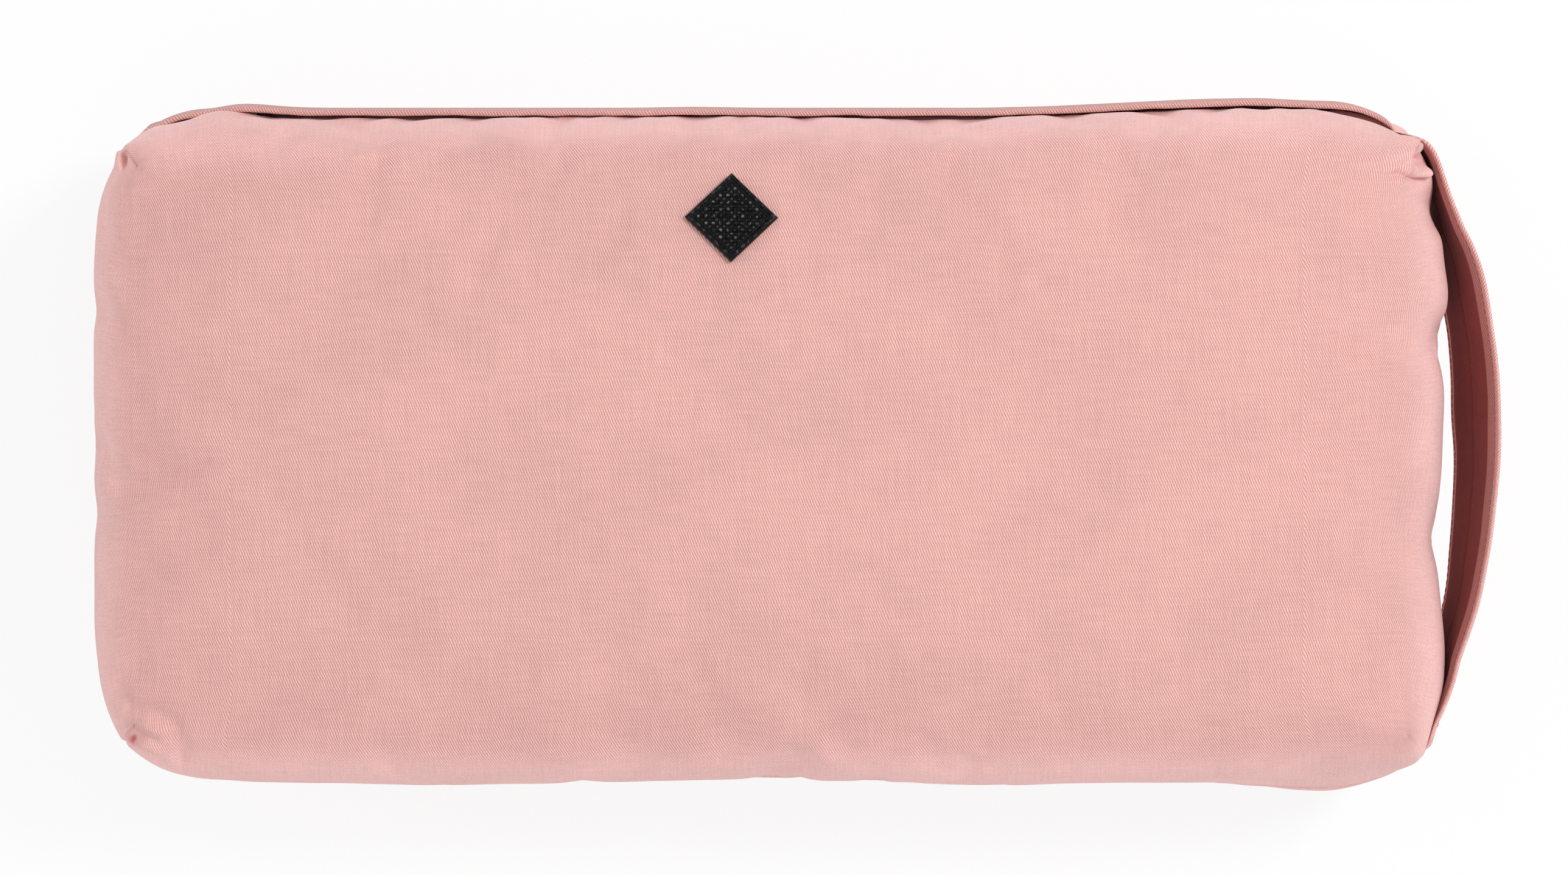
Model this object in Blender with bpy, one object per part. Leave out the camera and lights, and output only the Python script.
"""Rectangular meditation cushion: boxed-corner cover with a concealed zip, a carry
strap sewn into two corner seams, an ornament plate, an inner liner and its filling.

Units are metres. +X is the length, towards the carry strap. +Y is the width, towards
the zip. +Z is up through the thickness. The origin is the centre of the resting face.
"""
import math

import bmesh
import bpy
import numpy as np
from mathutils import Matrix, Vector
from mathutils.bvhtree import BVHTree

# Overall size of the stuffed cushion
LENGTH = 0.602
WIDTH = 0.300
HEIGHT = 0.150

# Stuffed form
CORNER_RADIUS = 0.050
FLAP_DEPTH = 0.062
PINCH_INSET_END = 0.020
PINCH_INSET_SIDE = 0.024
PINCH_DROP = 0.025
DIMPLE_DEPTH = 0.007
DIMPLE_RADIUS = 0.018
END_FULLNESS = 7.0
SIDE_FULLNESS = 3.6
BASE_FULLNESS = 4.4
RISE_FULLNESS = 2.4
FLAT_CUT = 0.0005
CROWDING_LONG = 1.6
CROWDING_SHORT = 1.4

# Cloth and its clearances
COVER_CLOTH = 0.0014
LINER_CLOTH = 0.0008
CLOTH_GAP = 0.00035
SEAM_ALLOWANCE = 0.0050
LINER_ROOM = 0.0030
LINER_SIDE_GROOVE = 0.0095
LINER_GROOVE_START = 0.55
LINER_GROOVE_SPREAD = 0.30

# Concealed zip along the +Y side
ZIP_END_INSET = 0.061
ZIP_OPENING = 0.018
ZIP_OPENING_TAPER = 0.012
TAPE_WIDTH = 0.0135
TAPE_THICKNESS = 0.0008
TAPE_OVERRUN = 0.005
TAPE_HALF_GAP = 0.0006
TAPE_SPREAD = 0.0024
TAPE_SPREAD_LENGTH = 0.008
TOOTH_PITCH = 0.0042
TOOTH_THICKNESS = 0.0018
TOOTH_LENGTH = 0.0048
TOOTH_REACH = 0.0009
TOOTH_BASE_WIDTH = 0.0012
TOOTH_TIP_WIDTH = 0.0017
CORD_WIDTH = 0.0017
STOP_LENGTH = 0.0030
STOP_WIDTH = 0.0040

# Zip slider and its pull
FIT_GAP = 0.0003
SLIDER_LENGTH = 0.0115
SLIDER_WIDTH = 0.0120
SLIDER_PLATE = 0.0012
SLIDER_THROAT = 0.0045
SLIDER_POST_LENGTH = 0.0026
SLIDER_POST_WIDTH = 0.0020
SLIDER_FLANGE = 0.0008
BAIL_WIDTH = 0.0026
BAIL_METAL = 0.0008
PULL_BAR = 0.0012
PULL_TURNING_ROOM = 0.0010
PULL_LENGTH = 0.0260
PULL_WIDTH = 0.0070
PULL_SLOT_LENGTH = 0.0038

# Folded placket that hides the zip
PLACKET_THICKNESS = 0.0023
PLACKET_RISE = 0.0160
PLACKET_FOOT_DROP = 0.0150
PLACKET_FOOT_HEIGHT = 0.0050
PLACKET_END_INSET = 0.027
PLACKET_END_DROP = 0.35

# Carry strap at the +X end
STRAP_WIDTH = 0.060
STRAP_THICKNESS = 0.0030
STRAP_BOW = 0.0268
STRAP_LEAN = math.radians(12.5)
STRAP_END_INSET = 0.0160
STRAP_STANDOFF = 0.0010
STRAP_EASING = 0.0008
STRAP_EDGE_ROUND = 0.0010
STRAP_FOLD_GROOVE = 0.0005
STRAP_FOLD_SPREAD = 0.0015
STRAP_LEAN_EASE = 0.6
STRAP_MITRE_LIMIT = 2.0
STRAP_SLOPE_STEP = 0.0005
GRIP_LENGTH = 0.120

# Ornament plate on the front face
BADGE_SIDE = 0.0283
BADGE_THICKNESS = 0.0014
BADGE_X = -0.0155
BADGE_SIDE_INSET = 0.0520
BADGE_RIM_WIDTH = 0.0022
BADGE_RIM_HEIGHT = 0.0007
BADGE_STUDS = 5
BADGE_STUD_HEIGHT = 0.0012
RIVET_RADIUS = 0.0010
RIVET_SPACING = 0.0110
RIVET_HOLE_GAP = 0.0003
BACKING_SIDE = 0.0180
BACKING_THICKNESS = 0.0008

# Number of facets
FACE_CELLS_LONG = 9
FACE_CELLS_SHORT = 6
LINER_CELLS_LONG = 5
LINER_CELLS_SHORT = 4
FLAP_ROWS = 5
ROUND_SIDES = 10
PROFILE_SAMPLES = 600
TAPE_SPREAD_STEPS = 5
PLACKET_FOLD_STEPS = 5
PLACKET_END_STEPS = 3
BADGE_PROBES = 6
GRIP_SECTIONS = 12
LEG_SECTIONS = 9

# Sizes that follow from the ones above
HALF_LENGTH = LENGTH / 2
HALF_WIDTH = WIDTH / 2
MID_HEIGHT = HEIGHT / 2
BADGE_Y = HALF_WIDTH - BADGE_SIDE_INSET
HALF_ZIP = HALF_LENGTH - ZIP_END_INSET
HALF_OPENING = ZIP_OPENING / 2
TAPE_OUTER_Y = HALF_WIDTH - SEAM_ALLOWANCE - FIT_GAP
TAPE_INNER_Y = TAPE_OUTER_Y - TAPE_THICKNESS
TEETH_INNER_Y = TAPE_OUTER_Y + FIT_GAP
TEETH_OUTER_Y = TEETH_INNER_Y + TOOTH_THICKNESS
SLIDER_FRONT_Y = TEETH_OUTER_Y + FIT_GAP
SLIDER_FACE_Y = SLIDER_FRONT_Y + SLIDER_PLATE
SLIDER_BACK_Y = TAPE_INNER_Y - FIT_GAP - SLIDER_PLATE
PULL_AXIS_Y = SLIDER_FACE_Y + PULL_TURNING_ROOM
BAIL_INNER_Y = PULL_AXIS_Y + PULL_TURNING_ROOM
BAIL_OUTER_Y = BAIL_INNER_Y + BAIL_METAL
PLACKET_INNER_Y = BAIL_OUTER_Y + FIT_GAP
SLIDER_X = -HALF_ZIP + SLIDER_LENGTH / 2
FIRST_TOOTH_X = SLIDER_X - SLIDER_LENGTH / 2 + SLIDER_POST_LENGTH + SLIDER_THROAT
STRAP_HALF_SPAN = HALF_WIDTH - STRAP_END_INSET
OPENING_END = HALF_ZIP + TAPE_OVERRUN + CLOTH_GAP
CORE_HALF_LENGTH = HALF_LENGTH - CORNER_RADIUS
CORE_HALF_WIDTH = HALF_WIDTH - CORNER_RADIUS


def clear_scene():
    """Remove whatever the scene holds, so that only the cushion is in it."""
    for old in list(bpy.data.objects):
        bpy.data.objects.remove(old, do_unlink=True)


def make_material(name, colour, roughness, metallic=0.0):
    """One Principled material in a plain colour."""
    material = bpy.data.materials.new(name)
    material.use_nodes = True
    shader = material.node_tree.nodes["Principled BSDF"]
    shader.inputs["Base Color"].default_value = (*colour, 1.0)
    shader.inputs["Roughness"].default_value = roughness
    shader.inputs["Metallic"].default_value = metallic
    return material


def add_object(name, mesh, material, location=(0.0, 0.0, 0.0)):
    """Link a mesh as a named object with its own material."""
    thing = bpy.data.objects.new(name, mesh)
    bpy.context.scene.collection.objects.link(thing)
    thing.location = location
    if material is not None:
        mesh.materials.append(material)
    return thing


def mesh_from(name, points, faces):
    """A mesh whose faces all point outwards."""
    mesh = bpy.data.meshes.new(name)
    mesh.from_pydata([tuple(point) for point in points], [], faces)
    shape = bmesh.new()
    shape.from_mesh(mesh)
    bmesh.ops.recalc_face_normals(shape, faces=shape.faces)
    shape.to_mesh(mesh)
    shape.free()
    return mesh


def box_mesh(name, low, high):
    """A rectangular block between two corners."""
    shape = bmesh.new()
    bmesh.ops.create_cube(shape, size=1.0)
    for corner in shape.verts:
        for axis in range(3):
            middle = (low[axis] + high[axis]) / 2
            corner.co[axis] = middle + corner.co[axis] * (high[axis] - low[axis])
    mesh = bpy.data.meshes.new(name)
    shape.to_mesh(mesh)
    shape.free()
    return mesh


def add_tool(name, mesh, location=(0.0, 0.0, 0.0)):
    """A helper solid that a Boolean modifier reads and that is not a piece itself."""
    tool = add_object(name, mesh, None, location)
    tool.hide_render = True
    tool.display_type = "WIRE"
    return tool


def combine(target, tool, operation):
    """Join a helper solid to a piece, or cut it away."""
    modifier = target.modifiers.new(tool.name, "BOOLEAN")
    modifier.operation = operation
    modifier.solver = "EXACT"
    modifier.object = tool


def extrude_outline(name, outline, depth_axis, low, high):
    """A prism: an outline of points in the two other axes, from low to high along one."""
    count = len(outline)
    points = []
    for level in (low, high):
        for first, second in outline:
            point = [first, second]
            point.insert(depth_axis, level)
            points.append(point)
    faces = [tuple(range(count))]
    faces.append(tuple(range(2 * count - 1, count - 1, -1)))
    for index in range(count):
        after = (index + 1) % count
        faces.append((index, after, after + count, index + count))
    return mesh_from(name, points, faces)


def loft(name, sections):
    """A solid through closed sections that all have the same number of points."""
    count = len(sections[0])
    points = [point for section in sections for point in section]
    faces = [tuple(range(count))]
    last = (len(sections) - 1) * count
    faces.append(tuple(range(last + count - 1, last - 1, -1)))
    for row in range(len(sections) - 1):
        for index in range(count):
            after = (index + 1) % count
            start = row * count
            faces.append((start + index, start + after, start + count + after, start + count + index))
    return mesh_from(name, points, faces)


class Profile:
    """Upper half of a stuffed cross-section, from its crown down to mid-depth."""

    def __init__(self, half_length, half_height, fullness):
        turn = np.linspace(0.0, math.pi / 2, PROFILE_SAMPLES)
        self.along = half_length * np.sin(turn) ** (2 / fullness)
        self.up = half_height * np.cos(turn) ** (2 / RISE_FULLNESS)
        steps = np.hypot(np.diff(self.along), np.diff(self.up))
        self.arc = np.concatenate([[0.0], np.cumsum(steps)])
        self.total = self.arc[-1]

    def at(self, arc):
        """Distance along and height above mid-depth, at a length of cloth from the crown."""
        return float(np.interp(arc, self.arc, self.along)), float(np.interp(arc, self.arc, self.up))


def smooth_step(value):
    """0 to 1 with level ends."""
    value = min(max(value, 0.0), 1.0)
    return value * value * (3 - 2 * value)


class StuffedHalf:
    """Half of the stuffed form, above mid-depth: a face with four side flaps, whose
    short edges meet in a seam at each corner."""

    def __init__(self, half_height, side_fullness, zip_opening):
        self.crown = half_height
        self.long = Profile(HALF_LENGTH, half_height, END_FULLNESS)
        self.short = Profile(HALF_WIDTH, half_height, side_fullness)
        self.face_long = self.long.total - FLAP_DEPTH
        self.face_short = self.short.total - FLAP_DEPTH
        self.end_x, self.end_z = self.long.at(self.face_long)
        self.side_y, self.side_z = self.short.at(self.face_short)
        pinch_x = HALF_LENGTH - PINCH_INSET_END
        pinch_y = HALF_WIDTH - PINCH_INSET_SIDE
        self.pinch = (pinch_x, pinch_y, MID_HEIGHT - PINCH_DROP)
        inset = CORNER_RADIUS * (1 - math.cos(math.pi / 4))
        self.corner = (HALF_LENGTH - inset, HALF_WIDTH - inset)
        self.zip_opening = zip_opening

    def rounding(self, share, half_width):
        """How far the plan corner has turned, 0 on the straight and 1 at the seam."""
        corner = half_width - CORNER_RADIUS * (1 - math.cos(math.pi / 4))
        into = (share * corner - (half_width - CORNER_RADIUS)) / CORNER_RADIUS
        if into <= 0:
            return 0.0
        return (1 - math.sqrt(1 - into * into)) / (1 - math.cos(math.pi / 4))

    def seam(self, down):
        """Point of the corner seam, from the pinch (0) to mid-depth (1)."""
        bulge = math.sin(down * math.pi / 2)
        x = self.pinch[0] + (self.corner[0] - self.pinch[0]) * bulge
        y = self.pinch[1] + (self.corner[1] - self.pinch[1]) * bulge
        return x, y, self.pinch[2] * math.cos(down * math.pi / 2)

    def face_point(self, s, t):
        """Point of the face; s and t are shares of its half length and half width."""
        x, x_height = self.long.at(s * self.face_long)
        y, y_height = self.short.at(t * self.face_short)
        fall_x = (self.crown - x_height) / (self.crown - self.end_z)
        fall_y = (self.crown - y_height) / (self.crown - self.side_z)
        excess = self.end_z + self.side_z - self.crown - self.pinch[2]
        z = x_height + y_height - self.crown - excess * fall_x * fall_y
        turn_x = self.rounding(y / self.side_y, HALF_WIDTH)
        turn_y = self.rounding(x / self.end_x, HALF_LENGTH)
        x *= 1 - (1 - self.pinch[0] / self.end_x) * turn_x
        y *= 1 - (1 - self.pinch[1] / self.side_y) * turn_y
        return [x, y, z]

    def end_point(self, t, down):
        """Point of the end flap (the short side), down from the face's edge."""
        seam_x, seam_y, seam_z = self.seam(down)
        x, z = self.long.at(self.face_long + down * FLAP_DEPTH)
        y, y_height = self.short.at(t * self.face_short)
        share = y / self.side_y
        turn = self.rounding(share, HALF_WIDTH)
        fall = (self.crown - y_height) / (self.crown - self.side_z)
        return [x - (x - seam_x) * turn, share * seam_y, z + (seam_z - z) * fall]

    def side_point(self, s, down):
        """Point of the side flap (the long side), down from the face's edge."""
        seam_x, seam_y, seam_z = self.seam(down)
        y, z = self.short.at(self.face_short + down * FLAP_DEPTH)
        x, x_height = self.long.at(s * self.face_long)
        share = x / self.end_x
        turn = self.rounding(share, HALF_LENGTH)
        fall = (self.crown - x_height) / (self.crown - self.end_z)
        return [share * seam_x, y - (y - seam_y) * turn, z + (seam_z - z) * fall]

    def share_at_side(self, x):
        """Share of the face whose line meets mid-depth of the side at a distance x."""
        face_x = x * self.end_x / self.corner[0]
        return float(np.interp(face_x, self.long.along, self.long.arc)) / self.face_long

    def dimple(self, point):
        """Draw the cloth in where the corner seam begins."""
        apart = math.dist(point, self.pinch)
        pull = DIMPLE_DEPTH * math.exp(-((apart / DIMPLE_RADIUS) ** 2))
        return [value - pull / math.sqrt(3) for value in point]

    def lift(self, x, on_zip_side, down):
        """Half the seam's gap, and half the zip's opening on the zip's side."""
        gap = CLOTH_GAP / 2
        if on_zip_side and self.zip_opening:
            past = (abs(x) - OPENING_END) / ZIP_OPENING_TAPER
            gap += (HALF_OPENING - gap) * (1 - smooth_step(past))
        return gap * down * down

    def point(self, s, t, end_down, side_down, hem):
        """Point in this half's own frame, from signed shares of the face."""
        sign_x = 1 if s >= 0 else -1
        sign_y = 1 if t >= 0 else -1
        if end_down > 0 and side_down > 0:
            place = list(self.seam(end_down))
        elif end_down > 0:
            place = self.end_point(abs(t), end_down)
        elif side_down > 0:
            place = self.side_point(abs(s), side_down)
        else:
            place = self.face_point(abs(s), abs(t))
        down = max(end_down, side_down)
        place = self.dimple(place)
        place[2] += self.lift(place[0], sign_y > 0 and side_down > 0, down)
        if hem > 0:
            core_x = min(place[0], CORE_HALF_LENGTH)
            core_y = min(place[1], CORE_HALF_WIDTH)
            out_x, out_y = place[0] - core_x, place[1] - core_y
            size = math.hypot(out_x, out_y)
            place[0] -= hem * out_x / size
            place[1] -= hem * out_y / size
        return [sign_x * place[0], sign_y * place[1], place[2]]


def spaced(cells, crowding, wanted=None):
    """Signed shares from -1 to 1, closer together towards both ends, one of them where
    it is wanted."""
    half = [1 - (1 - index / cells) ** crowding for index in range(cells + 1)]
    if wanted is not None:
        nearest = min(range(1, cells), key=lambda index: abs(half[index] - wanted))
        half[nearest] = wanted
    return [-value for value in reversed(half[1:])] + half


def half_surface(form, cells_long, cells_short, hem, groove):
    """Points and triangles of one half as a single sheet, open at mid-depth."""
    opening = form.share_at_side(OPENING_END) if form.zip_opening else None
    shares_x = spaced(cells_long, CROWDING_LONG, opening)
    shares_y = spaced(cells_short, CROWDING_SHORT)
    rows = FLAP_ROWS + (1 if hem > 0 else 0)
    last_x = len(shares_x) - 1
    last_y = len(shares_y) - 1
    points = []
    index_of = {}

    def vertex(i, j):
        """Number of the lattice point, shared along the corner seams."""
        over_x = max(0, -i, i - last_x)
        over_y = max(0, -j, j - last_y)
        inner_i = min(max(i, 0), last_x)
        inner_j = min(max(j, 0), last_y)
        on_corner = inner_i in (0, last_x) and inner_j in (0, last_y)
        over = max(over_x, over_y)
        if on_corner and over > 0:
            key = (inner_i, inner_j, over, "seam")
            over_x = over_y = over
        else:
            key = (inner_i, inner_j, over_x, over_y)
        if key not in index_of:
            down_x = min(over_x, FLAP_ROWS) / FLAP_ROWS
            down_y = min(over_y, FLAP_ROWS) / FLAP_ROWS
            tuck = hem if over > FLAP_ROWS else 0.0
            tuck += groove(max(down_x, down_y)) if groove else 0.0
            index_of[key] = len(points)
            points.append(form.point(shares_x[inner_i], shares_y[inner_j], down_x, down_y, tuck))
        return index_of[key]

    faces = []
    for i in range(-rows, last_x + rows):
        for j in range(-rows, last_y + rows):
            outside_x = i < 0 or i >= last_x
            outside_y = j < 0 or j >= last_y
            if outside_x and outside_y:
                continue
            a, b, c, d = vertex(i, j), vertex(i + 1, j), vertex(i + 1, j + 1), vertex(i, j + 1)
            if (i + 0.5 - last_x / 2) * (j + 0.5 - last_y / 2) > 0:
                faces += [(a, b, c), (a, c, d)]
            else:
                faces += [(a, b, d), (b, c, d)]
    return points, faces


def sheet_normals(points, faces):
    """Outward normal at each point of a sheet whose faces turn the same way."""
    normals = np.zeros((len(points), 3))
    place = np.array(points)
    for face in faces:
        corners = place[list(face)]
        across = np.cross(corners[1] - corners[0], corners[2] - corners[0])
        for corner in face:
            normals[corner] += across
    return normals / np.linalg.norm(normals, axis=1)[:, None]


def open_edges(faces):
    """Directed edges that belong to one face only."""
    edges = set()
    for face in faces:
        for index, start in enumerate(face):
            edges.add((start, face[(index + 1) % len(face)]))
    return [edge for edge in edges if (edge[1], edge[0]) not in edges]


def place_half(points, upper, flat_level):
    """Turn a half's own frame into the cushion's, cutting the base flat."""
    placed = []
    for x, y, z in points:
        height = MID_HEIGHT + z if upper else MID_HEIGHT - z
        placed.append((x, y, height if upper else max(height, flat_level)))
    return placed


def cloth_shell(name, points, faces, thickness, upper):
    """A shell of cloth inside a sheet, open at mid-depth."""
    if not upper:
        faces = [tuple(reversed(face)) for face in faces]
    outer = np.array(points)
    inner = outer - sheet_normals(points, faces) * thickness
    count = len(points)
    every_face = list(faces)
    every_face += [tuple(corner + count for corner in reversed(face)) for face in faces]
    every_face += [(b, a, a + count, b + count) for a, b in open_edges(faces)]
    return mesh_from(name, list(outer) + list(inner), every_face)


def inset_sheet(points, faces, distance, upper):
    """A sheet moved inwards along its own normals."""
    turned = faces if upper else [tuple(reversed(face)) for face in faces]
    return np.array(points) - sheet_normals(points, turned) * distance


def liner_groove(down):
    """The liner is pressed in along mid-depth by the seam allowances and the zip."""
    return LINER_SIDE_GROOVE * smooth_step((down - LINER_GROOVE_START) / LINER_GROOVE_SPREAD)


def make_cover(colour):
    """Front and back halves of the cover, sewn together at mid-depth."""
    front = StuffedHalf(MID_HEIGHT, SIDE_FULLNESS, True)
    back = StuffedHalf(MID_HEIGHT + FLAT_CUT, BASE_FULLNESS, True)
    made = []
    for name, form, upper in (("cover_front", front, True), ("cover_back", back, False)):
        points, faces = half_surface(form, FACE_CELLS_LONG, FACE_CELLS_SHORT, SEAM_ALLOWANCE, None)
        placed = place_half(points, upper, 0.0)
        mesh = cloth_shell(name, placed, faces, COVER_CLOTH, upper)
        made.append(add_object(name, mesh, make_material(name, colour, 0.85)))
    return made


def liner_sheet(upper):
    """Outer sheet of one liner half, clear of the cover and of what the cover carries."""
    crown = MID_HEIGHT if upper else MID_HEIGHT + FLAT_CUT
    fullness = SIDE_FULLNESS if upper else BASE_FULLNESS
    form = StuffedHalf(crown, fullness, False)
    points, faces = half_surface(form, LINER_CELLS_LONG, LINER_CELLS_SHORT, 0.0, liner_groove)
    placed = place_half(points, upper, 0.0)
    inset = inset_sheet(placed, faces, COVER_CLOTH + LINER_ROOM, upper)
    edge = MID_HEIGHT + (CLOTH_GAP / 2 if upper else -CLOTH_GAP / 2)
    for row, (_, _, height) in enumerate(placed):
        if abs(height - MID_HEIGHT) <= CLOTH_GAP:
            inset[row][2] = edge
        if height == 0.0:
            inset[row][2] = COVER_CLOTH + CLOTH_GAP
    return inset, faces


def make_liner(colour):
    """Two halves of the inner liner, sewn at mid-depth."""
    for name, upper in (("liner_upper", True), ("liner_lower", False)):
        points, faces = liner_sheet(upper)
        mesh = cloth_shell(name, points, faces, LINER_CLOTH, upper)
        add_object(name, mesh, make_material(name, colour, 0.9))


def make_filling(colour):
    """The stuffing: one closed soft block that fills the liner."""
    sheets = []
    for upper in (True, False):
        points, faces = liner_sheet(upper)
        points = inset_sheet(points, faces, LINER_CLOTH + CLOTH_GAP, upper)
        turned = faces if upper else [tuple(reversed(face)) for face in faces]
        sheets.append((points, turned))
    (top, top_faces), (base, base_faces) = sheets
    count = len(top)
    faces = list(top_faces)
    faces += [tuple(corner + count for corner in face) for face in base_faces]
    faces += [(b, a, a + count, b + count) for a, b in open_edges(top_faces)]
    mesh = mesh_from("filling", list(top) + list(base), faces)
    add_object("filling", mesh, make_material("filling", colour, 0.95))


def tape_edge(x):
    """Half the distance between the two tapes: they part ahead of the slider."""
    into = (FIRST_TOOTH_X - x) / TAPE_SPREAD_LENGTH
    return TAPE_HALF_GAP + TAPE_SPREAD * smooth_step(into)


def make_zip_tapes(colour):
    """Two woven tapes, parted at the closed end round the slider's post."""
    low = -HALF_ZIP - TAPE_OVERRUN
    high = HALF_ZIP + TAPE_OVERRUN
    spread_start = FIRST_TOOTH_X - TAPE_SPREAD_LENGTH
    stations = [low]
    for step in range(TAPE_SPREAD_STEPS + 1):
        stations.append(spread_start + TAPE_SPREAD_LENGTH * step / TAPE_SPREAD_STEPS)
    stations = [x for x in stations if x >= low] + [high]
    for name, side in (("zip_tape_upper", 1), ("zip_tape_lower", -1)):
        outline = [(x, MID_HEIGHT + side * tape_edge(x)) for x in stations]
        far = MID_HEIGHT + side * (TAPE_HALF_GAP + TAPE_WIDTH)
        outline += [(high, far), (low, far)]
        mesh = extrude_outline(name, outline, 1, TAPE_INNER_Y, TAPE_OUTER_Y)
        add_object(name, mesh, make_material(name, colour, 0.8))


def make_teeth(colour):
    """Two corded edges with moulded teeth that mesh across the chain's middle."""
    last_x = HALF_ZIP - STOP_LENGTH - TOOTH_TIP_WIDTH
    half_base = TOOTH_BASE_WIDTH / 2
    half_tip = TOOTH_TIP_WIDTH / 2
    for name, side, shift in (("zip_teeth_upper", 1, 0.0), ("zip_teeth_lower", -1, 0.5)):
        count = int((last_x - FIRST_TOOTH_X) / TOOTH_PITCH - shift) + 1
        back = MID_HEIGHT + side * (TOOTH_LENGTH - TOOTH_REACH)
        cord = back - side * CORD_WIDTH
        tip = MID_HEIGHT - side * TOOTH_REACH
        points = []
        faces = []
        for tooth in range(count):
            x = FIRST_TOOTH_X + TOOTH_PITCH * (tooth + shift)
            outline = [(x - half_base, back), (x - half_base, cord), (x - half_tip, tip)]
            outline += [(x + half_tip, tip), (x + half_base, cord)]
            if tooth == count - 1:
                outline.append((x + half_base, back))
            start = len(points)
            for level in (TEETH_INNER_Y, TEETH_OUTER_Y):
                points += [(along, level, height) for along, height in outline]
            step = len(outline)
            loop = list(range(start, start + 5))
            far = [corner + step for corner in loop]
            faces += [(loop[1], loop[2], loop[3], loop[4]), (far[4], far[3], far[2], far[1])]
            faces += [(loop[k], loop[k + 1], far[k + 1], far[k]) for k in (1, 2, 3)]
            if tooth == 0:
                faces.append((loop[0], loop[1], far[1], far[0]))
            if tooth < count - 1:
                ahead = start + 2 * step
                ahead_step = step + (1 if tooth == count - 2 else 0)
                faces.append((loop[0], loop[1], loop[4], ahead + 1, ahead))
                faces.append((far[0], ahead + ahead_step, ahead + ahead_step + 1, far[4], far[1]))
                faces.append((loop[4], ahead + 1, ahead + ahead_step + 1, far[4]))
                faces.append((ahead, loop[0], far[0], ahead + ahead_step))
            else:
                end, far_end = start + 5, start + 5 + step
                faces += [(loop[0], loop[1], loop[4], end), (far[0], far_end, far[4], far[1])]
                faces += [(loop[4], end, far_end, far[4]), (end, loop[0], far[0], far_end)]
        add_object(name, mesh_from(name, points, faces), make_material(name, colour, 0.45))


def make_zip_stops(colour):
    """One stop across both tapes at the open end, and one on each tape at the closed end."""
    high_x = HALF_ZIP
    low = (high_x - STOP_LENGTH, TEETH_INNER_Y, MID_HEIGHT - STOP_WIDTH)
    high = (high_x, TEETH_OUTER_Y, MID_HEIGHT + STOP_WIDTH)
    mesh = box_mesh("zip_bottom_stop", low, high)
    add_object("zip_bottom_stop", mesh, make_material("zip_bottom_stop", colour, 0.35, 1.0))
    far_x = SLIDER_X - SLIDER_LENGTH / 2 - FIT_GAP
    for name, side in (("zip_top_stop_upper", 1), ("zip_top_stop_lower", -1)):
        near = MID_HEIGHT + side * (tape_edge(far_x) + FIT_GAP)
        far = near + side * STOP_WIDTH
        low = (far_x - STOP_LENGTH, TEETH_INNER_Y, min(near, far))
        high = (far_x, TEETH_OUTER_Y, max(near, far))
        mesh = box_mesh(name, low, high)
        add_object(name, mesh, make_material(name, colour, 0.35, 1.0))


def make_slider(colour):
    """Slider: front and back plates joined by a post, with guides and a bail."""
    half_x = SLIDER_LENGTH / 2
    half_z = SLIDER_WIDTH / 2

    def local(x, y, z):
        """A point of the chain, seen from the slider's own origin."""
        return (x, y - SLIDER_FACE_Y, z)

    front_low = local(-half_x, SLIDER_FRONT_Y, -half_z)
    front_high = local(half_x, SLIDER_FACE_Y, half_z)
    front = box_mesh("zip_slider", front_low, front_high)
    place = (SLIDER_X, SLIDER_FACE_Y, MID_HEIGHT)
    slider = add_object("zip_slider", front, make_material("zip_slider", colour, 0.3, 1.0), place)
    back_top = SLIDER_BACK_Y + SLIDER_PLATE
    parts = {
        "slider_back": (local(-half_x, SLIDER_BACK_Y, -half_z), local(half_x, back_top, half_z)),
        "slider_post": (
            local(-half_x, back_top - SLIDER_PLATE / 2, -SLIDER_POST_WIDTH / 2),
            local(-half_x + SLIDER_POST_LENGTH, SLIDER_FACE_Y - SLIDER_PLATE / 2, SLIDER_POST_WIDTH / 2),
        ),
    }
    for name, side in (("slider_guide_upper", 1), ("slider_guide_lower", -1)):
        near = side * (half_z - SLIDER_FLANGE)
        far = side * half_z
        foot = TAPE_OUTER_Y + FIT_GAP
        parts[name] = (
            local(-half_x, foot, min(near, far)),
            local(half_x, SLIDER_FACE_Y - SLIDER_PLATE / 2, max(near, far)),
        )
    for name, (low, high) in parts.items():
        combine(slider, add_tool(name, box_mesh(name, low, high), place), "UNION")
    reach = PULL_TURNING_ROOM + BAIL_METAL
    sunk = SLIDER_PLATE / 2
    outer_y = BAIL_OUTER_Y - SLIDER_FACE_Y
    inner_y = BAIL_INNER_Y - SLIDER_FACE_Y
    inner = PULL_TURNING_ROOM
    bail = [(-reach, -sunk), (-reach, outer_y), (reach, outer_y), (reach, -sunk)]
    bail += [(inner, -sunk), (inner, inner_y), (-inner, inner_y), (-inner, -sunk)]
    arch = extrude_outline("slider_bail", bail, 2, -BAIL_WIDTH / 2, BAIL_WIDTH / 2)
    combine(slider, add_tool("slider_bail", arch, place), "UNION")


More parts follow.
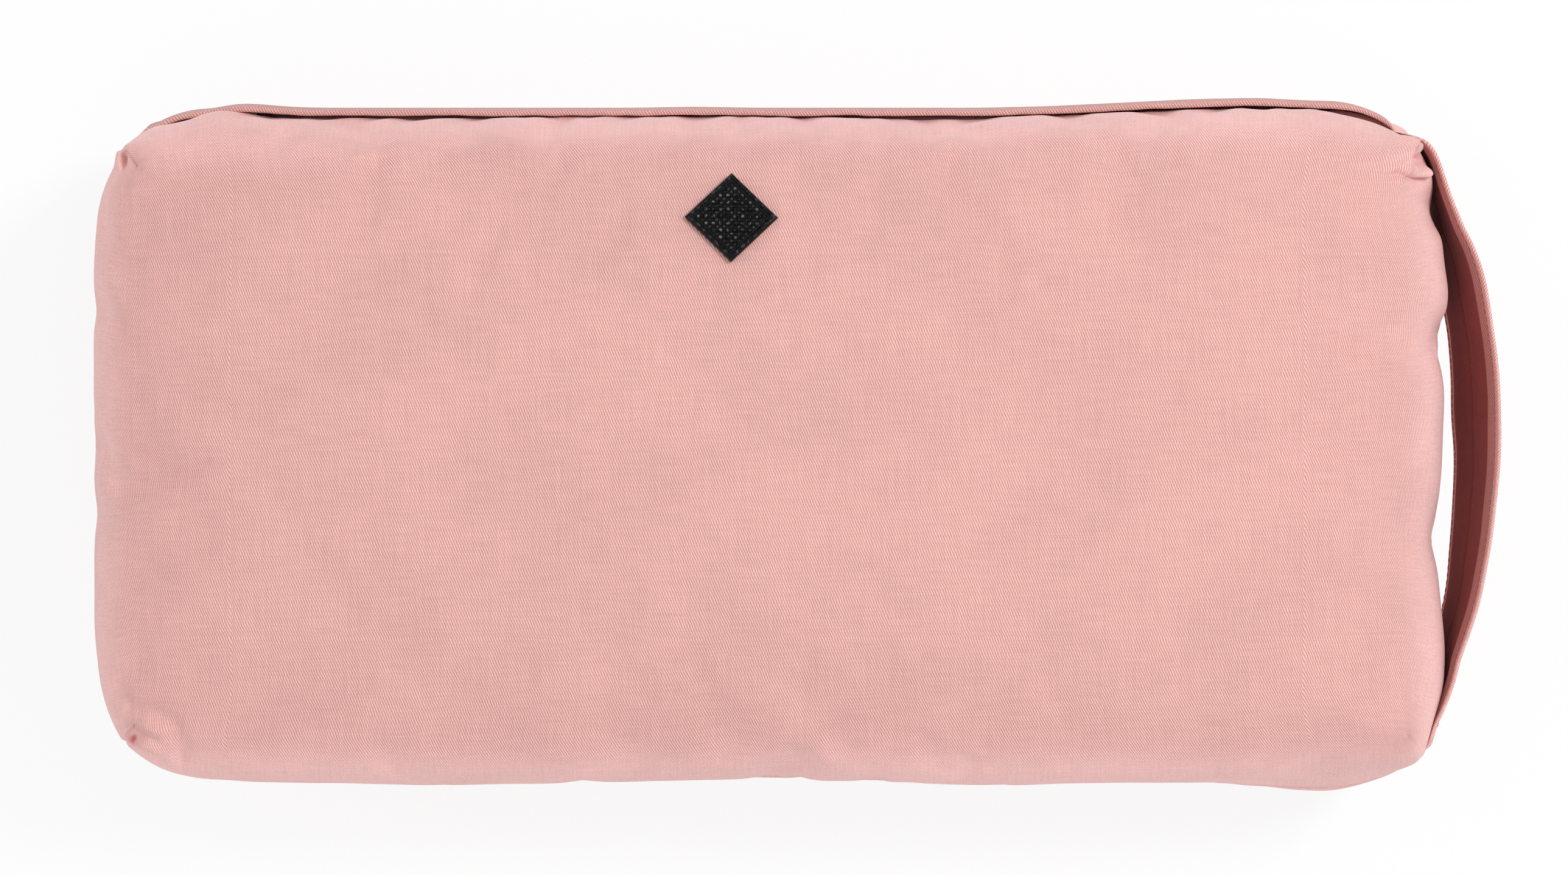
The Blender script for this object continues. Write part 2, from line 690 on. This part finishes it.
def make_pull(colour):
    """Flat pull whose end bar turns inside the slider's bail."""
    half_bar = PULL_BAR / 2
    half_width = PULL_WIDTH / 2
    slot_half = BAIL_WIDTH / 2 + FIT_GAP
    slot_end = PULL_SLOT_LENGTH
    tip = PULL_LENGTH
    corner = half_width / 2
    outline = [(-half_bar, -half_width), (tip - corner, -half_width), (tip, -half_width + corner)]
    outline += [(tip, half_width - corner), (tip - corner, half_width), (-half_bar, half_width)]
    mesh = extrude_outline("zip_pull", outline, 1, -half_bar, half_bar)
    place = (SLIDER_X, PULL_AXIS_Y, MID_HEIGHT)
    pull = add_object("zip_pull", mesh, make_material("zip_pull", colour, 0.3, 1.0), place)
    slot = box_mesh("pull_slot", (half_bar, -PULL_BAR, -slot_half), (slot_end, PULL_BAR, slot_half))
    combine(pull, add_tool("pull_slot", slot, place), "DIFFERENCE")


def side_surface(height, fullness):
    """Distance of the stuffed side from the middle, at a height from mid-depth."""
    rise = (abs(height) / MID_HEIGHT) ** RISE_FULLNESS
    return HALF_WIDTH * (1 - rise) ** (1 / fullness)


def make_placket(colour):
    """Folded strip, sewn along its foot below the zip, whose free fold stands over it."""
    foot_low = -PLACKET_FOOT_DROP
    foot_high = foot_low + PLACKET_FOOT_HEIGHT
    seat = side_surface(foot_high, BASE_FULLNESS) + CLOTH_GAP
    outer = PLACKET_INNER_Y + PLACKET_THICKNESS
    axis = (0.0, seat, MID_HEIGHT + foot_low)
    radius = PLACKET_THICKNESS / 2
    fold_z = PLACKET_RISE - radius
    profile = [(seat, foot_low), (outer, foot_low + radius), (outer, fold_z)]
    for step in range(1, PLACKET_FOLD_STEPS):
        turn = math.pi * step / PLACKET_FOLD_STEPS
        profile.append((outer - radius + radius * math.cos(turn), fold_z + radius * math.sin(turn)))
    profile += [(PLACKET_INNER_Y, fold_z), (PLACKET_INNER_Y, foot_high + CLOTH_GAP), (seat, foot_high)]
    half = HALF_LENGTH - PLACKET_END_INSET
    straight = CORE_HALF_LENGTH
    steps = PLACKET_END_STEPS
    ends = [straight + (half - straight) * step / steps for step in range(steps + 1)]
    stations = [-x for x in reversed(ends)] + ends
    sections = []
    for x in stations:
        past = max(0.0, abs(x) - straight)
        drop = CORNER_RADIUS - math.sqrt(CORNER_RADIUS ** 2 - past ** 2)
        rise = 1 - PLACKET_END_DROP * past / (half - straight)
        section = []
        for y, z in profile:
            section.append((x, y - drop - axis[1], (z - foot_low) * rise))
        sections.append(section)
    mesh = loft("zip_placket", sections)
    add_object("zip_placket", mesh, make_material("zip_placket", colour, 0.85), axis)


def end_outline(y):
    """Distance of the end wall from the middle at mid-depth, at a place across it."""
    past = min(max(0.0, abs(y) - CORE_HALF_WIDTH), CORNER_RADIUS)
    return CORE_HALF_LENGTH + math.sqrt(CORNER_RADIUS ** 2 - past ** 2)


def strap_rest_x():
    """Where the strap's middle line lies at its sewn ends."""
    return end_outline(STRAP_HALF_SPAN) + STRAP_STANDOFF + STRAP_THICKNESS / 2


def strap_clearance(y):
    """How far the free bow of the strap lies beyond its line along the cushion."""
    free = strap_rest_x() + STRAP_BOW * (1 - (y / STRAP_HALF_SPAN) ** 2)
    return free - end_outline(y) - STRAP_STANDOFF - STRAP_THICKNESS / 2


def strap_line(y):
    """Middle line of the strap: along the cushion's corner, then out in a bow."""
    clearance = strap_clearance(y)
    lifted = 0.5 * (clearance + math.hypot(clearance, STRAP_EASING))
    return end_outline(y) + STRAP_STANDOFF + STRAP_THICKNESS / 2 + lifted


def strap_profile():
    """Section of the strap: across its width and its thickness, with the joint where
    the two folded edges meet on the inner side."""
    half_width = STRAP_WIDTH / 2
    half = STRAP_THICKNESS / 2
    edge = STRAP_EDGE_ROUND
    spread = STRAP_FOLD_SPREAD
    outline = [(-half_width, -half + edge), (-half_width + edge, -half), (-spread, -half)]
    outline += [(0.0, -half + STRAP_FOLD_GROOVE), (spread, -half), (half_width - edge, -half)]
    outline += [(half_width, -half + edge), (half_width, half - edge), (half_width - edge, half)]
    outline += [(-half_width + edge, half), (-half_width, half - edge)]
    return outline


def strap_section(y, origin):
    """The strap's section at a place along it, square to its middle line."""
    step = STRAP_SLOPE_STEP
    ahead = Vector((strap_line(y + step) - strap_line(y - step), 2 * step, 0.0)).normalized()
    outward = Vector((ahead.y, -ahead.x, 0.0))
    share = max(0.0, strap_clearance(y)) / strap_clearance(0.0)
    lean = STRAP_LEAN * share ** STRAP_LEAN_EASE
    mitre = min(1 / outward.x, STRAP_MITRE_LIMIT)
    centre = Vector((strap_line(y), y, MID_HEIGHT)) - Vector(origin)
    points = []
    for across, out in strap_profile():
        level = across * math.cos(lean) - out * math.sin(lean)
        away = across * math.sin(lean) + out * math.cos(lean)
        points.append((centre.x + away * mitre, centre.y, level))
    return points


def make_strap(colour):
    """Carry strap: a grip that swings, and a leg that bends at each sewn end."""
    hinge = (strap_rest_x(), 0.0, MID_HEIGHT)
    half_grip = GRIP_LENGTH / 2
    grip_y = [-half_grip + GRIP_LENGTH * step / (GRIP_SECTIONS - 1) for step in range(GRIP_SECTIONS)]
    mesh = loft("handle_grip", [strap_section(y, hinge) for y in grip_y])
    add_object("handle_grip", mesh, make_material("handle_grip", colour, 0.85), hinge)
    start = half_grip + FIT_GAP
    for name, side in (("handle_leg_rear", 1), ("handle_leg_front", -1)):
        reach = STRAP_HALF_SPAN - start
        stations = [side * (start + reach * step / (LEG_SECTIONS - 1)) for step in range(LEG_SECTIONS)]
        mesh = loft(name, [strap_section(y, hinge) for y in stations])
        add_object(name, mesh, make_material(name, colour, 0.85), hinge)


def badge_frame(cover):
    """Seat of the ornament plate: the cloth's place and slope under its middle."""
    surface = bmesh.new()
    surface.from_mesh(cover.data)
    tree = BVHTree.FromBMesh(surface)
    surface.free()
    above = Vector((BADGE_X, BADGE_Y, 2 * HEIGHT))
    down = Vector((0.0, 0.0, -1.0))
    reach = BADGE_SIDE * math.sqrt(0.5)

    def cloth_at(shift_x, shift_y):
        """Point of the cloth beside the seat's middle."""
        return tree.ray_cast(above + Vector((shift_x, shift_y, 0.0)), down)[0]

    middle = cloth_at(0.0, 0.0)
    across = (cloth_at(reach, 0.0) - cloth_at(-reach, 0.0)).normalized()
    along = (cloth_at(0.0, reach) - cloth_at(0.0, -reach)).normalized()
    normal = across.cross(along).normalized()

    def heights(half_diagonal):
        """Heights of the cloth above the seat's plane, within a diamond."""
        found = []
        apart = half_diagonal / BADGE_PROBES
        for step_x in range(-BADGE_PROBES, BADGE_PROBES + 1):
            for step_y in range(-BADGE_PROBES, BADGE_PROBES + 1):
                if abs(step_x) + abs(step_y) <= BADGE_PROBES:
                    spot = cloth_at(step_x * apart, step_y * apart)
                    found.append((spot - middle).dot(normal))
        return found

    seat = middle + normal * (max(heights(reach)) + FIT_GAP)
    below = max(heights(reach)) - min(heights(BACKING_SIDE * math.sqrt(0.5)))
    diagonal = (across + normal.cross(across)).normalized()
    other = normal.cross(diagonal)
    turn = Matrix((diagonal, other, normal)).transposed().to_4x4()
    return Matrix.Translation(seat) @ turn, below


def badge_plate_mesh():
    """Square plate with a raised rim round a grid of small pyramids."""
    shape = bmesh.new()
    bmesh.ops.create_cube(shape, size=1.0)
    for corner in shape.verts:
        corner.co.x *= BADGE_SIDE
        corner.co.y *= BADGE_SIDE
        corner.co.z = (corner.co.z + 0.5) * BADGE_THICKNESS
    top = max(shape.faces, key=lambda face: face.calc_center_median().z)
    bmesh.ops.inset_region(shape, faces=[top], thickness=BADGE_RIM_WIDTH / 3)
    raised = bmesh.ops.inset_region(shape, faces=[top], thickness=BADGE_RIM_WIDTH * 2 / 3)["faces"]
    rim_points = {point for face in raised for point in face.verts} - set(top.verts)
    for point in rim_points:
        point.co.z += BADGE_RIM_HEIGHT
    half = BADGE_SIDE / 2 - BADGE_RIM_WIDTH
    bmesh.ops.delete(shape, geom=[top], context="FACES_ONLY")
    cell = 2 * half / BADGE_STUDS
    lattice = {}
    for i in range(BADGE_STUDS + 1):
        for j in range(BADGE_STUDS + 1):
            lattice[i, j] = shape.verts.new((-half + i * cell, -half + j * cell, BADGE_THICKNESS))
    for i in range(BADGE_STUDS):
        for j in range(BADGE_STUDS):
            middle_x = -half + (i + 0.5) * cell
            middle_y = -half + (j + 0.5) * cell
            peak = shape.verts.new((middle_x, middle_y, BADGE_THICKNESS + BADGE_STUD_HEIGHT))
            ring = [lattice[i, j], lattice[i + 1, j], lattice[i + 1, j + 1], lattice[i, j + 1]]
            for index in range(4):
                shape.faces.new((ring[index], ring[(index + 1) % 4], peak))
    corners = [point for point in shape.verts if point.is_boundary]
    bmesh.ops.remove_doubles(shape, verts=corners, dist=1e-6)
    open_loop = [edge for edge in shape.edges if edge.is_boundary]
    bmesh.ops.triangle_fill(shape, edges=open_loop, use_beauty=True)
    bmesh.ops.recalc_face_normals(shape, faces=shape.faces)
    mesh = bpy.data.meshes.new("badge_plate")
    shape.to_mesh(mesh)
    shape.free()
    return mesh


def cylinder_mesh(name, radius, low, high, x):
    """An upright cylinder at a distance along X."""
    outline = []
    for index in range(ROUND_SIDES):
        turn = 2 * math.pi * index / ROUND_SIDES
        outline.append((x + radius * math.cos(turn), radius * math.sin(turn)))
    return extrude_outline(name, outline, 2, low, high)


def make_badge(cover, plate_colour, backing_colour):
    """Ornament plate on the cloth, held by two rivets through a backing plate."""
    frame, below = badge_frame(cover)
    gloss = make_material("badge_plate", plate_colour, 0.18, 0.3)
    plate = add_object("badge_plate", badge_plate_mesh(), gloss)
    plate.matrix_world = frame
    backing_top = -(FIT_GAP + below + COVER_CLOTH + 2 * FIT_GAP)
    backing_base = backing_top - BACKING_THICKNESS
    half = BACKING_SIDE / 2
    mesh = box_mesh("badge_backing", (-half, -half, backing_base), (half, half, backing_top))
    backing = add_object("badge_backing", mesh, make_material("badge_backing", backing_colour, 0.4, 1.0))
    backing.matrix_world = frame
    hole = RIVET_RADIUS + RIVET_HOLE_GAP
    for side in (-1, 1):
        x = side * RIVET_SPACING / 2
        label = "left" if side < 0 else "right"
        low = backing_base - FIT_GAP
        rivet = cylinder_mesh("rivet_" + label, RIVET_RADIUS, low, BADGE_THICKNESS / 2, x)
        bore = cylinder_mesh("rivet_hole_" + label, hole, 2 * low, 2 * BADGE_THICKNESS, x)
        rivet_tool = add_tool("rivet_" + label, rivet)
        bore_tool = add_tool("rivet_hole_" + label, bore)
        rivet_tool.matrix_world = frame
        bore_tool.matrix_world = frame
        combine(plate, rivet_tool, "UNION")
        combine(backing, bore_tool, "DIFFERENCE")
        combine(cover, bore_tool, "DIFFERENCE")


def main():
    """Make every piece of the cushion."""
    pink = (0.79, 0.45, 0.42)
    dark_pink = (0.72, 0.38, 0.36)
    natural = (0.82, 0.78, 0.70)
    zip_pink = (0.62, 0.30, 0.29)
    black = (0.012, 0.012, 0.013)
    steel = (0.55, 0.55, 0.56)
    clear_scene()
    cover_front, _ = make_cover(pink)
    make_liner(natural)
    make_filling((0.90, 0.88, 0.84))
    make_zip_tapes(zip_pink)
    make_teeth(zip_pink)
    make_zip_stops(steel)
    make_slider(steel)
    make_pull(steel)
    make_placket(dark_pink)
    make_strap(dark_pink)
    make_badge(cover_front, black, steel)


main()
